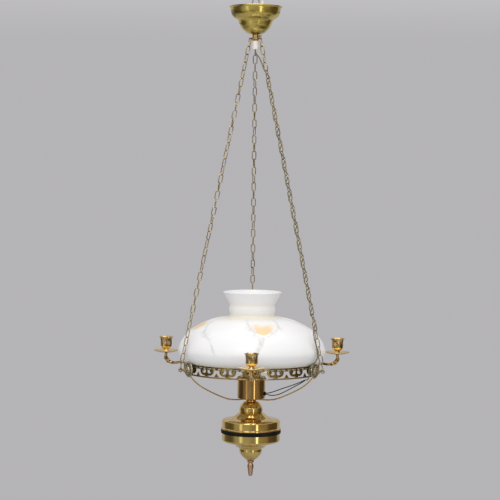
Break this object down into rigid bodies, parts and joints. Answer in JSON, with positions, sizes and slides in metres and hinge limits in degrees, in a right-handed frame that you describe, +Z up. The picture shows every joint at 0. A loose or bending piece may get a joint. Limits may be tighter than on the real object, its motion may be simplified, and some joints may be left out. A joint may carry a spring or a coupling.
{
  "type": "chandelier",
  "caption": "Brass chandelier hung on chains, with an opal glass shade in a pierced gallery ring, candle arms round it and a drum-shaped body with a finial below.",
  "frame": {"origin": "inside top of the hanging bail, on the lamp's axis, where a ceiling hook bears", "axes": "+Z up along the lamp's axis; -Y is the front, with one candle arm towards it; +X is the right side seen from the front, the side of the chain that carries the flex"},
  "size_m": [0.4228, 0.4135, 1.0084],
  "materials": {
    "polished_brass": "polished and lacquered",
    "pale_brass": "bright wire, slightly greyed",
    "bronze": "polished, pinkish",
    "steel": "zinc plated",
    "opal_glass": "glossy white opal with peach patches and fine grey veins",
    "clear_glass": "clear, blown",
    "white_plastic": "moulded",
    "black_rubber": "matt",
    "porcelain": "glazed porcelain",
    "dark_flex": "smooth dark olive sheath"
  },
  "bodies": {
    "hanger": {"hanging_bail": "polished_brass"},
    "stem": {"stem_fork": "polished_brass", "stem_tube": "polished_brass", "canopy_collar": "polished_brass", "stem_locknut": "polished_brass", "cord_grip": "white_plastic", "terminal_block": "white_plastic", "flex_upper": "dark_flex"},
    "canopy": {"canopy": "polished_brass"},
    "lock_screw": {"canopy_lock_screw": "polished_brass"},
    "shade": {"glass_shade": "opal_glass"},
    "bulb": {"bulb_glass": "clear_glass", "bulb_cap": "steel"},
    "finial": {"finial": "bronze"},
    "lamp": {"chain_crown": "polished_brass", "gallery_ring": "polished_brass", "shade_seat": "polished_brass", "rod_hub": "polished_brass", "burner_drum": "polished_brass", "burner_collar": "polished_brass", "lampholder_shell": "polished_brass", "ball_knop": "polished_brass", "upper_drum_shell": "polished_brass", "lower_drum_shell": "polished_brass", "rosette_1": "polished_brass", "rosette_2": "polished_brass", "rosette_3": "polished_brass", "eye_bolt_1": "polished_brass", "eye_bolt_2": "polished_brass", "eye_bolt_3": "polished_brass", "candle_arm_1": "polished_brass", "candle_arm_2": "polished_brass", "candle_arm_3": "polished_brass", "drip_pan_1": "polished_brass", "drip_pan_2": "polished_brass", "drip_pan_3": "polished_brass", "candle_cup_1": "polished_brass", "candle_cup_2": "polished_brass", "candle_cup_3": "polished_brass", "arm_nut_1": "polished_brass", "arm_nut_2": "polished_brass", "arm_nut_3": "polished_brass", "support_rod_1": "polished_brass", "support_rod_2": "polished_brass", "support_rod_3": "polished_brass", "chain_1": "pale_brass", "chain_2": "pale_brass", "chain_3": "pale_brass", "s_hook_1": "pale_brass", "s_hook_2": "pale_brass", "s_hook_3": "pale_brass", "tie_rod": "steel", "cable_grommet": "black_rubber", "drum_gasket": "black_rubber", "lampholder_insert": "porcelain", "flex_lower": "dark_flex", "flex_core_1": "dark_flex", "flex_core_2": "dark_flex"}
  },
  "joints": [
    {"name": "stem_swing", "type": "hinge", "parent": "hanger", "child": "stem", "pos_m": [0, 0, -0.032], "axis": [1, 0, 0], "range_deg": [-25, 25]},
    {"name": "canopy_slide", "type": "slide", "parent": "stem", "child": "canopy", "axis": [0, 0, 1], "range_m": [0, 0.02]},
    {"name": "lock_screw_turn", "type": "hinge", "parent": "stem", "child": "lock_screw", "pos_m": [0.0107, 0, -0.0835], "axis": [1, 0, 0], "range_deg": [0, 720]},
    {"name": "lamp_turn", "type": "hinge", "parent": "stem", "child": "lamp", "pos_m": [0, 0, -0.0887], "axis": [0, 0, 1], "range_deg": [-45, 45]},
    {"name": "shade_lift", "type": "slide", "parent": "lamp", "child": "shade", "axis": [0, 0, 1], "range_m": [0, 0.008]},
    {"name": "bulb_turn", "type": "hinge", "parent": "lamp", "child": "bulb", "pos_m": [0, 0, -0.8], "axis": [0, 0, 1], "range_deg": [0, 1080]},
    {"name": "finial_turn", "type": "hinge", "parent": "lamp", "child": "finial", "pos_m": [0, 0, -0.98], "axis": [0, 0, -1], "range_deg": [0, 1440]}
  ]
}
